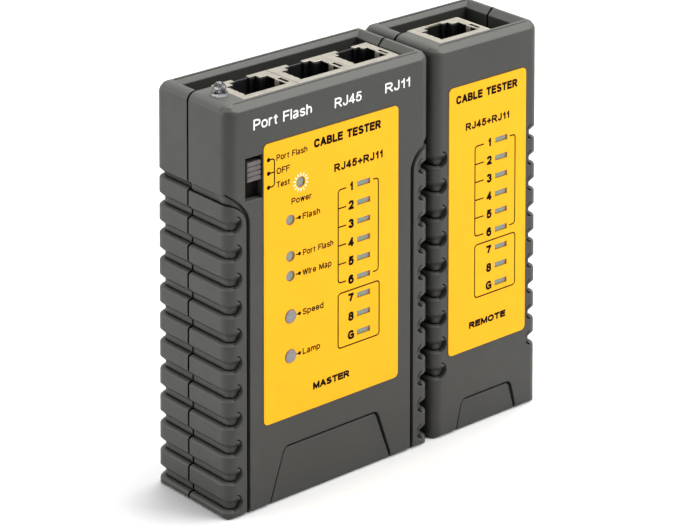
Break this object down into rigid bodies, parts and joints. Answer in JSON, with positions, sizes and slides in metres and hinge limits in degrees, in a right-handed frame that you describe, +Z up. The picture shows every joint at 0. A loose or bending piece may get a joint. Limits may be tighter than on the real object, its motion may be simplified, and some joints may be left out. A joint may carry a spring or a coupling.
{
  "type": "network cable tester",
  "caption": "Handheld network cable tester: wide master unit with lamp, mode switch and sockets, and a narrow remote unit docked at its side.",
  "frame": {"origin": "bottom centre of the docked pair's bounding box", "axes": "+Z up, out of the socket mouths; -Y out of the label faces; +X from master to remote"},
  "size_m": [0.0962, 0.0284, 0.1002],
  "materials": {
    "case_plastic": "fine textured, satin dark grey",
    "label_film": "satin printed film",
    "screw_steel": "plated",
    "board": "green solder mask",
    "black_plastic": "moulded",
    "capacitor_sleeve": "sleeve",
    "jack_shield": "tin plated",
    "contact_brass": "gold plated",
    "clear_resin": "water clear",
    "led_resin": "tinted diffuse",
    "switch_steel": "plated",
    "knob_plastic": "ridged grey",
    "button_plastic": "grey",
    "battery_jacket": "plain jacket",
    "red_insulation": "insulation",
    "black_insulation": "insulation",
    "insulator_film": "translucent film"
  },
  "bodies": {
    "master": {"master_front_shell": "case_plastic", "master_rear_shell": "case_plastic", "master_label": "label_film", "master_case_screws": "screw_steel", "master_circuit_board": "board", "controller_chip": "black_plastic", "crystal": "screw_steel", "board_capacitors": "capacitor_sleeve", "flash_jack_shield": "jack_shield", "flash_jack_housing": "black_plastic", "flash_jack_contacts": "contact_brass", "network_jack_shield": "jack_shield", "network_jack_housing": "black_plastic", "network_jack_contacts": "contact_brass", "phone_jack_shield": "jack_shield", "phone_jack_housing": "black_plastic", "phone_jack_contacts": "contact_brass", "lamp_led": "clear_resin", "master_line_leds": "led_resin", "master_mode_leds": "led_resin", "mode_switch_body": "switch_steel", "speed_switch_body": "black_plastic", "lamp_switch_body": "black_plastic", "battery_9v": "battery_jacket", "battery_snap_connector": "black_plastic", "battery_lead_red": "red_insulation", "battery_lead_black": "black_insulation"},
    "mode_knob": {"mode_switch_knob": "knob_plastic"},
    "speed_button": {"speed_button": "button_plastic"},
    "lamp_button": {"lamp_button": "button_plastic"},
    "battery_door": {"battery_door": "case_plastic"},
    "remote": {"remote_front_shell": "case_plastic", "remote_rear_shell": "case_plastic", "remote_label": "label_film", "remote_case_screws": "screw_steel", "remote_circuit_board": "board", "remote_resistors": "black_plastic", "remote_jack_shield": "jack_shield", "remote_jack_housing": "black_plastic", "remote_jack_contacts": "contact_brass", "remote_jack_insulator": "insulator_film", "remote_line_leds": "led_resin"}
  },
  "joints": [
    {"name": "mode_switch_slide", "type": "slide", "parent": "master", "child": "mode_knob", "axis": [0, 0, 1], "range_m": [-0.003, 0]},
    {"name": "speed_button_press", "type": "slide", "parent": "master", "child": "speed_button", "axis": [0, 1, 0], "range_m": [0, 0.00025], "stiffness_N_per_m": 20, "springref_m": -0.0005},
    {"name": "lamp_button_press", "type": "slide", "parent": "master", "child": "lamp_button", "axis": [0, 1, 0], "range_m": [0, 0.00025], "stiffness_N_per_m": 20, "springref_m": -0.0005},
    {"name": "battery_door_slide", "type": "slide", "parent": "master", "child": "battery_door", "axis": [0, 0, -1], "range_m": [0, 0.032]},
    {"name": "remote_undock", "type": "slide", "parent": "master", "child": "remote", "axis": [0, 0, 1], "range_m": [0, 0.04]}
  ]
}
